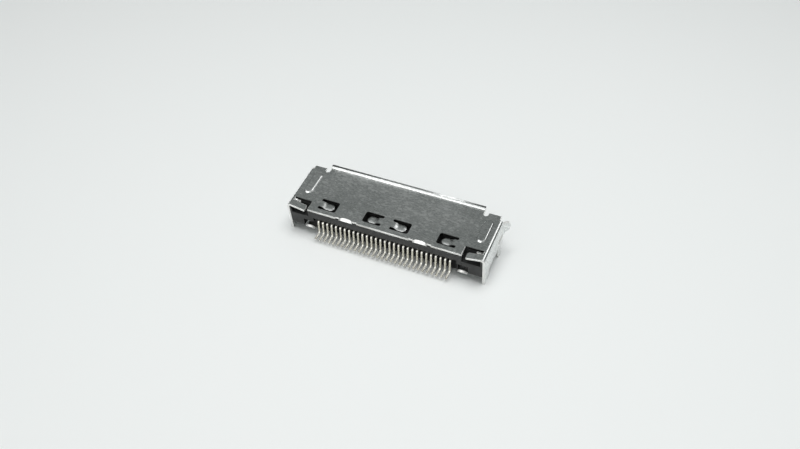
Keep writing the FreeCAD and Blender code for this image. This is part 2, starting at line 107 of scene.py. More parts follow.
# %% Node helpers
def new_group(name, kind, inputs, outputs):
    """A node group. Each input is (name, socket type, value); each output is (name, socket type)."""
    group = bpy.data.node_groups.new(name, kind)
    for title, socket_type, value in inputs:
        socket = group.interface.new_socket(title, in_out="INPUT", socket_type=socket_type)
        if value is not None:
            socket.default_value = value
    for title, socket_type in outputs:
        group.interface.new_socket(title, in_out="OUTPUT", socket_type=socket_type)
    return group


def add_node(tree, kind, properties=None, **inputs):
    """Adds a node. An input is named as its socket is, or in_0, in_1 and so on by its place."""
    node = tree.nodes.new(kind)
    for name, setting in (properties or {}).items():
        setattr(node, name, setting)
    for name, source in inputs.items():
        key = int(name[3:]) if name.startswith("in_") else name.replace("_", " ")
        if isinstance(source, bpy.types.NodeSocket):
            tree.links.new(source, node.inputs[key])
        else:
            node.inputs[key].default_value = source
    return node


def calculate(tree, operation, *values):
    """One Math node; the values are numbers or sockets."""
    places = {f"in_{index}": value for index, value in enumerate(values)}
    return add_node(tree, "ShaderNodeMath", {"operation": operation}, **places).outputs[0]


def fade(tree, value, low, high, ends=(0.0, 1.0), course="LINEAR"):
    """Runs from the first end to the second while the value goes from low to high."""
    return add_node(tree, "ShaderNodeMapRange", {"interpolation_type": course}, in_0=value, in_1=low,
                    in_2=high, in_3=ends[0], in_4=ends[1]).outputs[0]


def blend(tree, share, *colours):
    """Goes from one colour to another; each is three numbers or a socket."""
    first, second = (colour if isinstance(colour, bpy.types.NodeSocket) else (*colour, 1)
                     for colour in colours)
    return add_node(tree, "ShaderNodeMix", {"data_type": "RGBA"}, Factor=share, A=first,
                    B=second).outputs["Result"]


# %% [markdown]
# ## The table
#
# The part lies on a pale table, not on a board. Its four legs, which would go through the board, hold
# it up: it stands on the rear corners of the two short legs and on the tips of the two long ones, so
# the mouth is lifted a little and the contacts' toes hang over the table. Seen from underneath the
# table is left out, so that the underside of the part can be looked at.

# %% Table
SHORT_LEG = 0.6 * MM
LONG_LEG_FROM_REAR = 4.3 * MM
TABLE_HALF = 400 * MM
long_leg = -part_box("shell")[0].z
table_slope = (SHORT_LEG - long_leg) / LONG_LEG_FROM_REAR


def table_level(y):
    """Height of the table's face at a place from the rear to the mouth."""
    return table_slope * y - SHORT_LEG


table_mesh = bpy.data.meshes.new("table")
table_mesh.from_pydata(
    [(x, y, table_level(y)) for x, y in ((-TABLE_HALF, -TABLE_HALF), (TABLE_HALF, -TABLE_HALF),
                                         (TABLE_HALF, TABLE_HALF), (-TABLE_HALF, TABLE_HALF))],
    [], [(0, 1, 2, 3)])
table = add_object("table", table_mesh)
print("the part leans back by", round(math.degrees(math.atan(-table_slope)), 1), "degrees")

# %% Table material
table_finish = bpy.data.materials.new("pale_table")
table_finish.use_nodes = True
tree = table_finish.node_tree
tree.nodes.clear()
place = add_node(tree, "ShaderNodeTexCoord").outputs["Object"]
haze = add_node(tree, "ShaderNodeTexNoise", Vector=place, Scale=9.0, Detail=1.0)
tone = blend(tree, haze.outputs["Fac"], (0.84, 0.865, 0.86), (0.875, 0.89, 0.885))
surface = add_node(tree, "ShaderNodeBsdfPrincipled", Base_Color=tone, Roughness=0.6,
                   Specular_IOR_Level=0.2)
underside = calculate(tree, "MULTIPLY", add_node(tree, "ShaderNodeNewGeometry").outputs["Backfacing"],
                      add_node(tree, "ShaderNodeLightPath").outputs["Is Camera Ray"])
clear = add_node(tree, "ShaderNodeBsdfTransparent")
shown = add_node(tree, "ShaderNodeMixShader", in_0=underside, in_1=surface.outputs[0],
                 in_2=clear.outputs[0])
add_node(tree, "ShaderNodeOutputMaterial", Surface=shown.outputs[0])
table_mesh.materials.append(table_finish)

# %% [markdown]
# ## Light
#
# Metal shows what surrounds it, so what lights the scene and what shines in the metal are set apart.
# The key panel overhead lights only the dull surfaces. Two others are only mirrored: the front panel,
# on the camera's left, in every edge and bend that looks to the rear and up, and the small side panel,
# beyond the mouth, in the fold over the right wall. The room is dark near the table, which gives the
# part its contact shadow, and pale overhead. On the side that the top plate mirrors it is dim, and so
# the plate is grey, while the side wall mirrors the bright table.

# %% Lights
def soft_panel(name, direction, distance, size, power, mirrored):
    """A square lamp that faces the part: it is either mirrored in what shines or lights what is dull."""
    lamp = bpy.data.lights.new(name, "AREA")
    lamp.shape = "SQUARE"
    lamp.size = size
    lamp.energy = power
    panel = add_object(name, lamp)
    panel.location = Vector(direction).normalized() * distance
    panel.rotation_mode = "QUATERNION"
    panel.rotation_quaternion = panel.location.to_track_quat("Z", "Y")
    panel.visible_camera = False
    panel.visible_glossy = mirrored
    panel.visible_diffuse = not mirrored
    print(name, round(power / (math.pi * size * size), 2), "of white")


soft_panel("key_panel", (0.05, 0.12, 0.98), 0.18, 0.12, 0.235, False)
soft_panel("front_panel", (-0.33, -0.74, 0.59), 0.25, 0.28, 0.38, True)
soft_panel("side_panel", (0.5, 0.59, 0.62), 0.25, 0.1, 0.05, True)

# %% Room
NEAR_TABLE, OVERHEAD, HEIGHT_OF_DUSK = (0.08, 0.085, 0.085), (0.7, 0.71, 0.705), (0.2, 0.95)
DIM, DIM_SIDE, WIDTH_OF_DIM = (0.2, 0.212, 0.208), Vector((-0.31, 0.59, 0.75)), (0.6, 0.93)
world = bpy.data.worlds.new("room")
scene.world = world
world.use_nodes = True
tree = world.node_tree
tree.nodes.clear()
direction = add_node(tree, "ShaderNodeTexCoord").outputs["Generated"]
up = add_node(tree, "ShaderNodeSeparateXYZ", Vector=direction).outputs["Z"]
raised = fade(tree, up, *HEIGHT_OF_DUSK, course="SMOOTHSTEP")
sky = blend(tree, raised, NEAR_TABLE, OVERHEAD)
likeness = add_node(tree, "ShaderNodeVectorMath", {"operation": "DOT_PRODUCT"},
                    in_0=direction, in_1=DIM_SIDE).outputs["Value"]
towards_dim = fade(tree, likeness, *WIDTH_OF_DIM, course="SMOOTHSTEP")
background = add_node(tree, "ShaderNodeBackground", Color=blend(tree, towards_dim, sky, DIM))
add_node(tree, "ShaderNodeOutputWorld", Surface=background.outputs[0])

# %% [markdown]
# ## Surface effects shared by the materials
#
# Plated metal, moulded plastic and tin have the same kinds of unevenness: fine grain, broad stains
# from handling and, on the plate, small light specks that crowd where a stain is light. One node group
# makes them, and each material sets how large and how strong they are. It puts out a tone, a shift of
# the roughness and a height.

# %% Grain group
SPECK_COARSENESS, SPECK_EDGE = 0.55, (0.56, 0.66)
grain = new_group(
    "grain_and_stains", "ShaderNodeTree",
    [("Place", "NodeSocketVector", None), ("Grain Per mm", "NodeSocketFloat", 6.0),
     ("Stains Per mm", "NodeSocketFloat", 0.6), ("Grain", "NodeSocketFloat", 0.5),
     ("Stains", "NodeSocketFloat", 0.5), ("Specks", "NodeSocketFloat", 0.0)],
    [("Tone", "NodeSocketFloat"), ("Roughness", "NodeSocketFloat"), ("Height", "NodeSocketFloat")])
entry = grain.nodes.new("NodeGroupInput")
fine = add_node(grain, "ShaderNodeTexNoise", Vector=entry.outputs["Place"],
                Scale=entry.outputs["Grain Per mm"], Detail=4.0, Roughness=0.65)
broad = add_node(grain, "ShaderNodeTexNoise", Vector=entry.outputs["Place"],
                 Scale=entry.outputs["Stains Per mm"], Detail=5.0, Roughness=0.6, Distortion=0.6)
fine_part, broad_part = (
    calculate(grain, "MULTIPLY", calculate(grain, "SUBTRACT", noise.outputs["Fac"], 0.5),
              entry.outputs[name]) for noise, name in ((fine, "Grain"), (broad, "Stains")))
speck_scale = calculate(grain, "MULTIPLY", entry.outputs["Grain Per mm"], SPECK_COARSENESS)
spotted = add_node(grain, "ShaderNodeTexNoise", Vector=entry.outputs["Place"], Scale=speck_scale,
                   Detail=2.0)
speck = fade(grain, calculate(grain, "ADD", spotted.outputs["Fac"], broad_part), *SPECK_EDGE,
             course="SMOOTHSTEP")
tone = calculate(grain, "ADD", calculate(grain, "ADD", fine_part, broad_part),
                 calculate(grain, "MULTIPLY", speck, entry.outputs["Specks"]))
leave = grain.nodes.new("NodeGroupOutput")
grain.links.new(calculate(grain, "ADD", tone, 0.5), leave.inputs["Tone"])
grain.links.new(broad_part, leave.inputs["Roughness"])
grain.links.new(fine.outputs["Fac"], leave.inputs["Height"])
print("the grain group has", len(grain.nodes), "nodes")


# %% Helpers for the finishes
def new_finish(name, stretch=(1, 1, 1)):
    """An empty material, its tree, and the place on the piece in millimetres, each axis stretched."""
    finish = bpy.data.materials.new(name)
    finish.use_nodes = True
    tree = finish.node_tree
    tree.nodes.clear()
    place = add_node(tree, "ShaderNodeTexCoord").outputs["Object"]
    in_mm = add_node(tree, "ShaderNodeMapping", Vector=place,
                     Scale=[1 / (MM * factor) for factor in stretch])
    print("finish:", name)
    return finish, tree, in_mm.outputs[0]


def surface_of(tree, dark, light, roughness, bump, grain_settings, place, **settings):
    """The shader that most finishes share: a tone between two colours, uneven roughness, fine bump."""
    uneven = add_node(tree, "ShaderNodeGroup", {"node_tree": grain}, Place=place)
    for name, number in grain_settings.items():
        uneven.inputs[name].default_value = number
    colour = blend(tree, uneven.outputs["Tone"], dark, light)
    rough = calculate(tree, "ADD", uneven.outputs["Roughness"], roughness)
    relief = add_node(tree, "ShaderNodeBump", Height=uneven.outputs["Height"], Strength=1.0, Distance=bump)
    surface = add_node(tree, "ShaderNodeBsdfPrincipled", Base_Color=colour, Roughness=rough,
                       Normal=relief.outputs[0], **settings)
    add_node(tree, "ShaderNodeOutputMaterial", Surface=surface.outputs[0])
    return surface


def cover(tree, surface, mask, colour):
    """Lays another colour over a surface where the mask is 1."""
    base = surface.inputs["Base Color"]
    tree.links.new(blend(tree, mask, base.links[0].from_socket, colour), base)


# %% [markdown]
# ## The finishes
#
# The sheet is plated and rolled: a middling grey with stains and light specks, and a grain that is
# drawn out along the plate. Where the press sheared it, the metal is bare and bright, but the edges in
# the windows are painted near-black, as painted shade of the black plastic below them. The insulator is
# dull and black, with painted shade, near-black, in the deep pockets beside the row. The contacts are
# covered with pale tin, with painted highlights at their bends. Each finish is one Principled shader
# with noise in its colour, roughness and bump. A painted image could hold the stains as well, but noise
# stays sharp however near the camera comes.

# %% Plated sheet
DRAWN_OUT = (2.2, 1, 1)
plated_sheet, tree, place = new_finish("plated_sheet", DRAWN_OUT)
surface_of(tree, (0.47, 0.49, 0.485), (0.97, 0.98, 0.97), 0.3, 0.0006 * MM,
           {"Grain Per mm": 8.5, "Stains Per mm": 0.3, "Grain": 2.0, "Stains": 0.45, "Specks": 0.8},
           place, Metallic=1.0)

# %% Sheared edge
EDGE_GRAIN = {"Grain Per mm": 14.0, "Stains Per mm": 1.2, "Grain": 0.7, "Stains": 0.5}
sheared_edge, tree, place = new_finish("sheared_edge")
surface_of(tree, (0.86, 0.86, 0.84), (0.98, 0.98, 0.96), 0.42, 0.001 * MM, EDGE_GRAIN, place, Metallic=0.5)

# %% Edge inside a window
window_edge, tree, place = new_finish("window_edge")
# Painted shade: these rims are metal painted near-black, standing in for the shade and dark reflection of
# the black plastic below them.
surface_of(tree, (0.03, 0.031, 0.03), (0.09, 0.092, 0.09), 0.4, 0.001 * MM, EDGE_GRAIN, place, Metallic=1.0)

# %% Moulded insulator
POCKET_SIDE, POCKET_TOP, FALLING = (7.6, 7.9), (1.6, 1.9), (1.0, 0.0)
moulded_black, tree, place = new_finish("moulded_black")
surface = surface_of(tree, (0.009, 0.0095, 0.0095), (0.03, 0.031, 0.03), 0.48, 0.002 * MM,
                     {"Grain Per mm": 12.0, "Stains Per mm": 0.9, "Grain": 0.9, "Stains": 0.8}, place)
spot = add_node(tree, "ShaderNodeSeparateXYZ", Vector=place).outputs
inside = fade(tree, calculate(tree, "ABSOLUTE", spot["X"]), *POCKET_SIDE, FALLING)
below = fade(tree, spot["Z"], *POCKET_TOP, FALLING)
painted_recess_shade = calculate(tree, "MULTIPLY", inside, below)
# Painted shade: the pockets beside the row, below the beam, are painted near-black and made rough, standing
# in for the shade under the top plate.
cover(tree, surface, painted_recess_shade, (0.002, 0.002, 0.002))
dull = calculate(tree, "MAXIMUM", surface.inputs["Roughness"].links[0].from_socket, painted_recess_shade)
tree.links.new(dull, surface.inputs["Roughness"])

# %% Tin on the contacts
KNEE_LEVEL, KNEE_EDGE, SHOULDER_EDGE, BEHIND_BLOCK = 0.3, (0.08, 0.16), (1.6, 1.7), -0.02
tinned, tree, place = new_finish("tinned_contact")
surface = surface_of(tree, (0.48, 0.46, 0.39), (0.86, 0.83, 0.72), 0.16, 0.0006 * MM,
                     {"Grain Per mm": 9.0, "Stains Per mm": 1.5, "Grain": 0.8, "Stains": 0.9}, place,
                     Metallic=0.55)
spot = add_node(tree, "ShaderNodeSeparateXYZ", Vector=place).outputs
from_knee = calculate(tree, "ABSOLUTE", calculate(tree, "SUBTRACT", spot["Z"], KNEE_LEVEL))
painted_bend_highlight = calculate(tree, "MAXIMUM", fade(tree, from_knee, *KNEE_EDGE, FALLING),
                    fade(tree, spot["Z"], *SHOULDER_EDGE))
behind = calculate(tree, "LESS_THAN", spot["Y"], BEHIND_BLOCK)
# Painted highlight: the knees and shoulders of the tails behind the block are painted near-white, standing
# in for the glint of their bends.
cover(tree, surface, calculate(tree, "MULTIPLY", painted_bend_highlight, behind), (1.0, 0.98, 0.91))

# %% [markdown]
# ## The shell, drawn flat
#
# The real shell starts as a flat strip of sheet. A press punches its outline and windows, pushes ribs
# and tongues out of it, bends lips and ears, and folds it round into a box. This part is made the same
# way: outlines are drawn on the flat sheet, the metal between them is cut into triangles, and one rule
# says where each flat place ends up. So every fold stays round and every edge keeps the sheet's
# thickness. All lengths in these cells are in millimetres. On the flat sheet, "along" runs round the
# box from the middle of the top plate, and "deep" runs from the rear edge to the mouth.

# %% Sizes of the sheet
SHEET = 0.25
EDGE_ROUND = 0.035
SIDE = 10.8
HEIGHT = 3.1
FOLD_RADIUS = 0.4
FOLD_MIDDLE = FOLD_RADIUS - SHEET / 2
FOLD_LENGTH = FOLD_MIDDLE * math.pi / 2
FLAT_HALF = SIDE - FOLD_RADIUS
WALL_START = FLAT_HALF + FOLD_LENGTH
WALL_END = WALL_START + HEIGHT - 2 * FOLD_RADIUS
SHEET_END = WALL_END + FOLD_LENGTH
FOLD_FRONT = 5.5
FLOOR_FOLD = (1.35, 3.45)


def wall_place(level):
    """Where a level of the straight side wall lies along the flat sheet."""
    return WALL_START + HEIGHT - FOLD_RADIUS - level


print("half of the flat sheet is", round(SHEET_END + FLAT_HALF, 2), "mm long")


# %% Outlines
def drawn(corners, steps=5):
    """An outline from corners (along, deep), or (along, deep, radius) where a corner is round."""
    points = []
    for index, corner in enumerate(corners):
        here = Vector(corner[:2])
        if len(corner) == 2:
            points.append(here)
            continue
        before = (Vector(corners[index - 1][:2]) - here).normalized()
        after = (Vector(corners[(index + 1) % len(corners)][:2]) - here).normalized()
        half = before.angle(after) / 2
        centre = here + (before + after).normalized() * (corner[2] / math.sin(half))
        first = here + before * (corner[2] / math.tan(half)) - centre
        last = here + after * (corner[2] / math.tan(half)) - centre
        start = math.atan2(first.y, first.x)
        turn = (math.atan2(last.y, last.x) - start + math.pi) % (2 * math.pi) - math.pi
        for step in range(steps + 1):
            angle = start + turn * step / steps
            points.append(centre + Vector((math.cos(angle), math.sin(angle))) * corner[2])
    return points


def mirrored(corners):
    """The same corners on the left half, in the order that goes on round the outline."""
    return [(-corner[0], *corner[1:]) for corner in reversed(corners)]


def turned(points, left):
    """The outline in the order that keeps its inside on the left, or on the right."""
    area = sum(a.cross(b) for a, b in zip(points, points[1:] + points[:1]))
    return points if (area > 0) == left else points[::-1]


def miter(before, after, distance):
    """The shift of a corner between two edges' normals that moves both edges by the distance."""
    return (before + after) * (distance / (1 + before.dot(after)))


def shrunk(points, distance):
    """The outline with its left-hand side drawn in by a distance."""
    result = []
    for before, here, after in zip(points[-1:] + points[:-1], points, points[1:] + points[:1]):
        edge_in, edge_out = (here - before).normalized(), (after - here).normalized()
        result.append(here + miter(edge_in.orthogonal(), edge_out.orthogonal(), distance))
    return result


print("a round corner is drawn with", len(drawn([(0, 0, 1), (4, 0), (4, 4)])) - 2, "points")

# %% [markdown]
# ## Cutting the flat metal into triangles
#
# Blender's Delaunay triangulation fills the outlines, and it keeps every crease: a line where the sheet
# will be bent, so that no triangle runs across it. The outlines are first drawn in by the radius of the
# worn edge, and the band that is left over becomes the rounded rim.

# %% Triangles between the outlines
MERGED_WITHIN, SMALLEST_TWIST = 1e-5, 1e-7


def steps_between(first, last, count):
    """Evenly spaced values from the first to the last."""
    return [first + (last - first) * n / count for n in range(count + 1)]


def is_metal(place, edges):
    """True where an odd number of outline edges lies to the right of the place."""
    crossings = 0
    for start, end in edges:
        if (start.y > place.y) != (end.y > place.y):
            if place.x < start.x + (place.y - start.y) * (end.x - start.x) / (end.y - start.y):
                crossings += 1
    return crossings % 2 == 1


def flat_metal(loops, creases):
    """Corner places and triangles of the metal between the loops, cut along the creases."""
    points, edges, outline_edges = [], [], []
    for loop in loops:
        first = len(points)
        points += loop
        edges += [(first + n, first + (n + 1) % len(loop)) for n in range(len(loop))]
        outline_edges += zip(loop, loop[1:] + loop[:1])
    for crease in creases:
        first = len(points)
        points += [Vector(place) for place in crease]
        edges += [(first + n, first + n + 1) for n in range(len(crease) - 1)]
    places, _, triangles, *_ = delaunay_2d_cdt(points, edges, [], 0, MERGED_WITHIN)
    kept = []
    for triangle in triangles:
        a, b, c = (places[corner] for corner in triangle)
        twist = (b - a).cross(c - a)
        if abs(twist) > SMALLEST_TWIST and is_metal((a + b + c) / 3, outline_edges):
            kept.append(tuple(triangle) if twist > 0 else tuple(triangle[::-1]))
    return places, kept


trial = [Vector(place) for place in ((0, 0), (1, 0), (1, 1), (0, 1))]
print("a square with one crease:", len(flat_metal([trial], [[(0.5, -1), (0.5, 2)]])[1]), "triangles")

# %% [markdown]
# ## Giving the sheet its thickness
#
# Each flat place has a folded place on the middle of the sheet and a normal there. Two copies of the
# triangles, half a thickness out and half in, make the faces, and a band of narrow faces round every
# free edge makes the rim. The rim's corners know their own direction, so the shading is smooth without
# a trick: on the flat it is the sheet's normal, and it turns outwards over the worn edge.

# %% The sheet as a mesh
DEEPER = Vector((0, 1, 0))
PLATED, SHEARED, SHADED = 0, 1, 2
WINDOW_BAND, WINDOWS_END, SLOT_BAND, LIP_BAND = (0.5, 2.0), 8.0, (1.1, 1.2), 6.5


def rim_finish(place):
    """Edges in the windows and slots get painted shade, for the black plastic below them; the lips' long
    edges are plated.
    """
    across = abs(place.x)
    in_window = WINDOW_BAND[0] < place.y < WINDOW_BAND[1] and across < WINDOWS_END
    over_slot = SLOT_BAND[0] < place.y < SLOT_BAND[1] and WINDOWS_END < across < FLAT_HALF
    if in_window or over_slot:
        return SHADED
    return PLATED if place.y > LIP_BAND and across < FLAT_HALF else SHEARED


class SheetMesh:
    """Collects corners with normals, and faces; a corner that is given twice is kept once."""

    def __init__(self):
        self.places, self.normals, self.faces, self.finishes, self.known = [], [], [], [], {}

    def corner(self, place, normal):
        key = tuple(round(x, 3) for x in place)
        if key not in self.known:
            self.known[key] = len(self.places)
            self.places.append(place * MM)
            self.normals.append(normal.normalized())
        return self.known[key]

    def face(self, corners, finish):
        corners = [c for n, c in enumerate(corners) if c != corners[n - 1]]
        if len(set(corners)) > 2:
            self.faces.append(corners)
            self.finishes.append(finish)

    def add_patch(self, loops, creases, folded, joined, fall=None):
        """A stretch of the flat sheet, which is folded and gets its two faces and its rim.

        fall(place) says how far the outer face is sheared back there towards the mouth.
        """
        loops = [shrunk(turned(loop, number == 0), EDGE_ROUND) for number, loop in enumerate(loops)]
        places, triangles = flat_metal(loops, creases)
        middles = [with_normal(folded, place) for place in places]
        falls = [fall(place) if fall else 0.0 for place in places]
        half = SHEET / 2
        sides = {}
        for a, b, c in triangles:
            for out in (half, -half):
                spots = [self.corner(middles[n][0] + middles[n][1] * out + DEEPER * falls[n] * (out > 0),
                                     middles[n][1] * math.copysign(1, out)) for n in (a, b, c)]
                self.face(spots if out > 0 else spots[::-1], PLATED)
            for start, end in ((a, b), (b, c), (c, a)):
                sides[start, end] = True
        free = [edge for edge in sides if edge[::-1] not in sides
                and not joined(places[edge[0]], places[edge[1]])]
        self.add_rim(free, places, middles, falls, folded)

    def add_rim(self, free, places, middles, falls, folded):
        """The rounded band round the free edges, from the outer face over the edge to the inner face."""
        outward = {}
        for start, end in free:
            run = (places[end] - places[start]).normalized()
            for corner in (start, end):
                outward.setdefault(corner, []).append(Vector((run.y, -run.x)))
        profiles = {}
        for corner, normals in outward.items():
            shift = miter(normals[0], normals[-1], EDGE_ROUND)
            edge, normal = with_normal(folded, places[corner] + shift)
            middle, face_normal = middles[corner]
            aside = edge - middle
            aside = (aside - normal * aside.dot(normal)).normalized()
            slope = normal * (falls[corner] / SHEET * max(-aside.dot(DEEPER), 0.0))
            rim = []
            for sign in (1, -1):
                level = SHEET / 2 - EDGE_ROUND
                run = [(middle + face_normal * (sign * SHEET / 2), face_normal * sign)]
                for angle in (math.pi / 4, math.pi / 2):
                    share, lift = math.sin(angle), math.cos(angle)
                    spot = middle.lerp(edge, share) + normal * (sign * (level + EDGE_ROUND * lift))
                    run.append((spot, (aside + slope) * share + normal * (sign * lift)))
                rim += run if sign > 0 else run[::-1]
            profiles[corner] = []
            for spot, direction in rim:
                share = (spot - middle).dot(normal) / SHEET + 0.5
                profiles[corner].append(self.corner(spot + DEEPER * (falls[corner] * share), direction))
        for start, end in free:
            first, last = profiles[start], profiles[end]
            finish = rim_finish((places[start] + places[end]) / 2)
            for n in range(len(first) - 1):
                self.face([last[n], first[n], first[n + 1], last[n + 1]], finish)


def with_normal(folded, place):
    """Where a flat place ends up, and the folded sheet's outward normal there."""
    step = 0.004
    along = folded(place.x + step, place.y) - folded(place.x - step, place.y)
    deep = folded(place.x, place.y + step) - folded(place.x, place.y - step)
    return folded(place.x, place.y), along.cross(deep).normalized()


# %% [markdown]
# ## What the press does to the sheet
#
# Ribs stand up, and the tongues, the corner tabs and a small finger in each corner slot go down. Each
# is a height over the flat sheet that rises or falls between two lines, and the same lines are given as
# creases. NEAR is how far a rule reaches beyond its own edges, so that rim corners follow it too.

# %% Pressed heights
RIB_MIDDLE, RIB_HALF, RIB_REAR, RIB_FRONT, RIB_RISE, RIB_SLOPE = 9.53, 0.5, 2.1, 5.1, 0.14, 0.19
WINDOW_REAR, WINDOW_FRONT, WINDOW_HALF, WINDOW_GAP, TIP_GAP = 0.57, 1.9, 0.965, 0.27, 0.41
WINDOWS = [(-6.51, 1), (-1.5, -1), (1.5, 1), (6.51, -1)]
TONGUE_DROP, TONGUE_SLOPE, TONGUE_CROWN = 0.12, (0.1, 0.5), 0.11
TAB_ROOT, TAB_TIP, TAB_DEPTH, TAB_DROP = 10.35, 8.82, 0.74, 0.3
FINGER_TIP, FINGER_REAR, FINGER_FRONT, FINGER_DROP, FINGER_STEP = 9.65, 0.85, 1.04, 0.08, 0.05
NEAR = 0.05


def eased(share):
    """A rise from 0 to 1 that starts and ends softly."""
    share = min(max(share, 0.0), 1.0)
    return share * share * (3 - 2 * share)


def rib_distance(along, deep):
    """Distance from the middle line of the nearer rib."""
    past = max(RIB_REAR + RIB_HALF - deep, deep - RIB_FRONT + RIB_HALF, 0.0)
    return math.hypot(abs(along) - RIB_MIDDLE, past)


def pressed(along, deep):
    """How far the press moves a flat place out of the sheet, outwards counted positive."""
    height = RIB_RISE * eased((RIB_HALF - rib_distance(along, deep)) / RIB_SLOPE)
    for middle, pointing in WINDOWS:
        run = (along - middle) * pointing + WINDOW_HALF
        length = 2 * WINDOW_HALF - TIP_GAP
        inside = WINDOW_REAR + WINDOW_GAP - NEAR < deep < WINDOW_FRONT - WINDOW_GAP + NEAR
        if inside and 0 < run < length + NEAR:
            middle_deep = (WINDOW_REAR + WINDOW_FRONT) / 2
            half = middle_deep - WINDOW_REAR - WINDOW_GAP
            from_crown = math.hypot(deep - middle_deep, max(run - length + half, 0.0)) / half
            share = eased((run / length - TONGUE_SLOPE[0]) / (TONGUE_SLOPE[1] - TONGUE_SLOPE[0]))
            height -= share * (TONGUE_DROP + TONGUE_CROWN * from_crown ** 2)
    run = (TAB_ROOT - abs(along)) / (TAB_ROOT - TAB_TIP)
    if deep < TAB_DEPTH + NEAR and 0 < run < 1 + NEAR:
        height -= TAB_DROP * min(run, 1.0)
    run = (TAB_ROOT - abs(along)) / (TAB_ROOT - FINGER_TIP)
    if FINGER_REAR - NEAR < deep < FINGER_FRONT + NEAR / 2 and 0 < run < 1 + NEAR:
        height -= FINGER_DROP * run + FINGER_STEP * min(run / NEAR, 1.0)
    return height


tongue_drop = -pressed(WINDOWS[0][0], (WINDOW_REAR + WINDOW_FRONT) / 2)
print("a tongue lies", round(tongue_drop, 2), "mm under the plate")

# %% [markdown]
# ## Bends and folds
#
# A bend takes a straight run and carries it round an arc, then on straight. The lips turn up and down,
# the ears turn out, and the lugs stand up. The folds do the same round the box.

# %% Where a flat place ends up
LIP_MIDDLE, LIP_START, LIP_RISE, LIP_DROP = 0.33, 6.065, 0.38, 0.34
EAR_MIDDLE, EAR_START, EAR_ANGLE = 0.275, 5.792, math.radians(42)
LUG_MIDDLE, LUG_START, LUG_ANGLE = 0.225, -0.35, math.radians(60)
QUARTER = math.pi / 2


def bent(run, start, radius, angle):
    """How far on and how far aside a straight run reaches once the sheet is bent at start."""
    if run <= start:
        return run, 0.0
    turn = min((run - start) / radius, angle)
    rest = run - start - radius * turn
    return (start + radius * math.sin(turn) + rest * math.cos(turn),
            radius * (1 - math.cos(turn)) + rest * math.sin(turn))


def round_box(along, deep):
    """Place and outward direction, seen from the rear, of a place round the top plate and a wall."""
    side, run = math.copysign(1, along), abs(along)
    low, high = FOLD_RADIUS, HEIGHT - FOLD_RADIUS
    if run <= FLAT_HALF:
        return along, high + FOLD_MIDDLE, 0.0, 1.0
    if run <= WALL_START:
        turn = (run - FLAT_HALF) / FOLD_MIDDLE
        return (side * (FLAT_HALF + FOLD_MIDDLE * math.sin(turn)), high + FOLD_MIDDLE * math.cos(turn),
                side * math.sin(turn), math.cos(turn))
    if run <= WALL_END or not FLOOR_FOLD[0] - NEAR / 2 < deep < FLOOR_FOLD[1] + NEAR:
        return side * (FLAT_HALF + FOLD_MIDDLE), high - (run - WALL_START), side, 0.0
    turn = (run - WALL_END) / FOLD_MIDDLE
    return (side * (FLAT_HALF + FOLD_MIDDLE * math.cos(turn)), low - FOLD_MIDDLE * math.sin(turn),
            side * math.cos(turn), -math.sin(turn))


def folded_top(along, deep):
    """Place of the top plate, the side walls and what hangs on them."""
    if abs(along) < WALL_START - NEAR:
        on, aside = bent(deep, LIP_START, LIP_MIDDLE, QUARTER)
    else:
        on, aside = bent(deep, EAR_START, EAR_MIDDLE, EAR_ANGLE)
    x, z, out_x, out_z = round_box(along, deep)
    height = aside + pressed(along, deep)
    return Vector((x + out_x * height, on, z + out_z * height))


def folded_floor(across, deep):
    """Place of the bottom plate. Across is counted to the left, because this is its outer side."""
    on, aside = bent(deep, LIP_START, LIP_MIDDLE, QUARTER)
    back, rise = bent(-on, LUG_START, LUG_MIDDLE, LUG_ANGLE)
    return Vector((-across, -back, SHEET / 2 - aside + rise))


half_round = folded_top((FLAT_HALF + WALL_START) / 2, 1.0)
print("half-way round the fold:", [round(x, 2) for x in half_round], "mm")

# %% [markdown]
# ## The outlines of the top plate and the walls
#
# Only the right half is written down, from the middle of the rear edge round to the middle of the
# mouth. It passes the carrier stub with its two notches, the corner slot with its finger and its tab,
# the short leg, the lower fold, the long leg, the ear and the upper lip. A third number in a corner is
# its radius.

# %% Top and walls
STUB_SLOT, STUB, STUB_NOTCH, STUB_REACH = (2.84, 5.22), (3.28, 4.78), 0.08, 0.04
STUB_FALL, STUB_FOOT, STUB_FADE = 0.28, 0.45, 0.35
SLOT, SLOT_FRONT = (8.4, TAB_ROOT), 1.16
LIP_HALF, NOTCH_END, PLATE_FRONT, FOLD_SIDE = 8.62, 9.1, 6.0, 10.42
LIP_TURN = LIP_MIDDLE * QUARTER
LIP_TIP = LIP_START + LIP_TURN + LIP_RISE - LIP_MIDDLE
EAR_TURN, EAR_STRAIGHT = EAR_MIDDLE * EAR_ANGLE, 0.662
EAR_TIP = EAR_START + EAR_TURN + EAR_STRAIGHT
EAR_TOP, EAR_LOW, EAR_BOTTOM = wall_place(2.3), wall_place(1.2), wall_place(0.45)
WALL_FOOT, BOARD = wall_place(0.42), wall_place(0.0)
SHORT_LEG_TIP, LONG_LEG_TIP, SHORT_LEG_FRONT, LEG_ROUND = wall_place(-0.6), wall_place(-1.25), 1.3, 0.06
LONG_LEG, LONG_LEG_POINT, LONG_LEG_ROUND = (4.0, 5.3), (4.3, 5.0), 0.08
lip_notch = [(NOTCH_END, PLATE_FRONT), (NOTCH_END, FOLD_FRONT, 0.22), (LIP_HALF, FOLD_FRONT, 0.22)]


def stub_line(deep):
    """Corners across a carrier stub at one depth."""
    return [(x, deep) for x in steps_between(*STUB, 6)]


